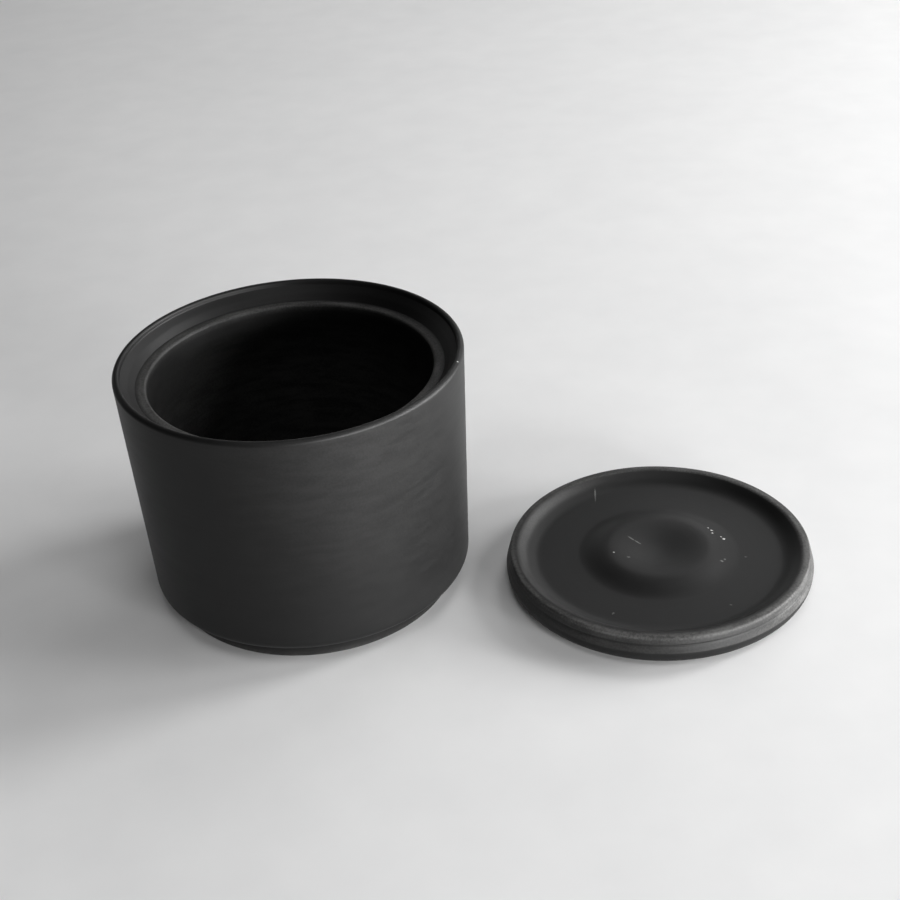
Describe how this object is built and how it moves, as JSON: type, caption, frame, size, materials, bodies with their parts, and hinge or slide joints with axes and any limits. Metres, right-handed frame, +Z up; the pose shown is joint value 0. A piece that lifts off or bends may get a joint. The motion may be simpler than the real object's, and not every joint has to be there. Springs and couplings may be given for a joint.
{
  "type": "sugar bowl",
  "caption": "Round ceramic sugar bowl with a recessed foot and a stepped rim, its loose lid lying beside it upside down.",
  "frame": {"origin": "centre of the bowl's foot ring, on the surface that the bowl stands on", "axes": "+Z up along the bowl's axis, +X from the bowl's axis towards the axis of the lid lying beside it"},
  "size_m": [0.2005, 0.1, 0.0756],
  "materials": {
    "matt_black_ceramic": "matt, unglazed, with faint pale dust on handled edges"
  },
  "bodies": {
    "bowl": {"bowl": "matt_black_ceramic"},
    "lid": {"lid": "matt_black_ceramic"}
  },
  "joints": [
    {"name": "lid_lift", "type": "slide", "parent": "bowl", "child": "lid", "axis": [0, 0, 1], "range_m": [0, 0.1]}
  ]
}
